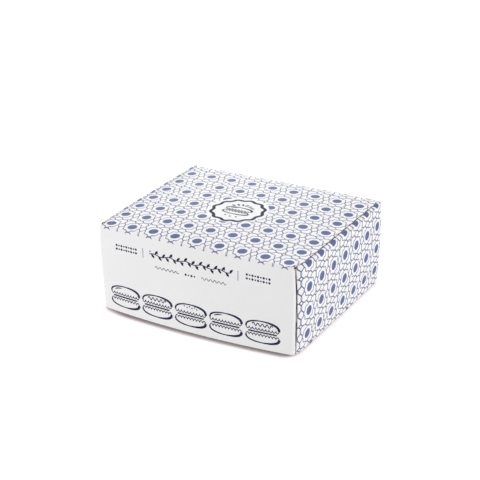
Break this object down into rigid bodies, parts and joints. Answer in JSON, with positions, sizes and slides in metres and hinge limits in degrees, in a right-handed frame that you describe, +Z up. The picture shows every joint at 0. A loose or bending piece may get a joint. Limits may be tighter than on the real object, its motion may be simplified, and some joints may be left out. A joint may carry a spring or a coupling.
{
  "type": "box of macarons",
  "caption": "Shut gift carton for macarons, folded from thin fluted board, with a crowned tile-patterned lid, rolled side walls and a bowed white front panel.",
  "frame": {"origin": "centre of the carton's footprint, its front panel's bow included, at the surface that it stands on", "axes": "+Z up, the front panel faces -Y, the lid's hinge runs along X at the back, +X to the right as seen from the front"},
  "size_m": [0.182, 0.1534, 0.076],
  "materials": {
    "printed_board": "satin coated white paper with a blue tile print",
    "printed_wall": "satin coated white paper with a blue tile print",
    "plain_white_board": "matt white paper",
    "raw_board": "raw brown fluted board"
  },
  "bodies": {
    "root": {"cover_board": "printed_board", "side_wall_left": "printed_wall", "side_wall_right": "printed_wall", "base_panel": "plain_white_board", "closed_core": "plain_white_board", "lock_tab_left_front": "raw_board", "lock_tab_left_rear": "raw_board", "lock_tab_right_front": "raw_board", "lock_tab_right_rear": "raw_board"}
  },
  "joints": []
}
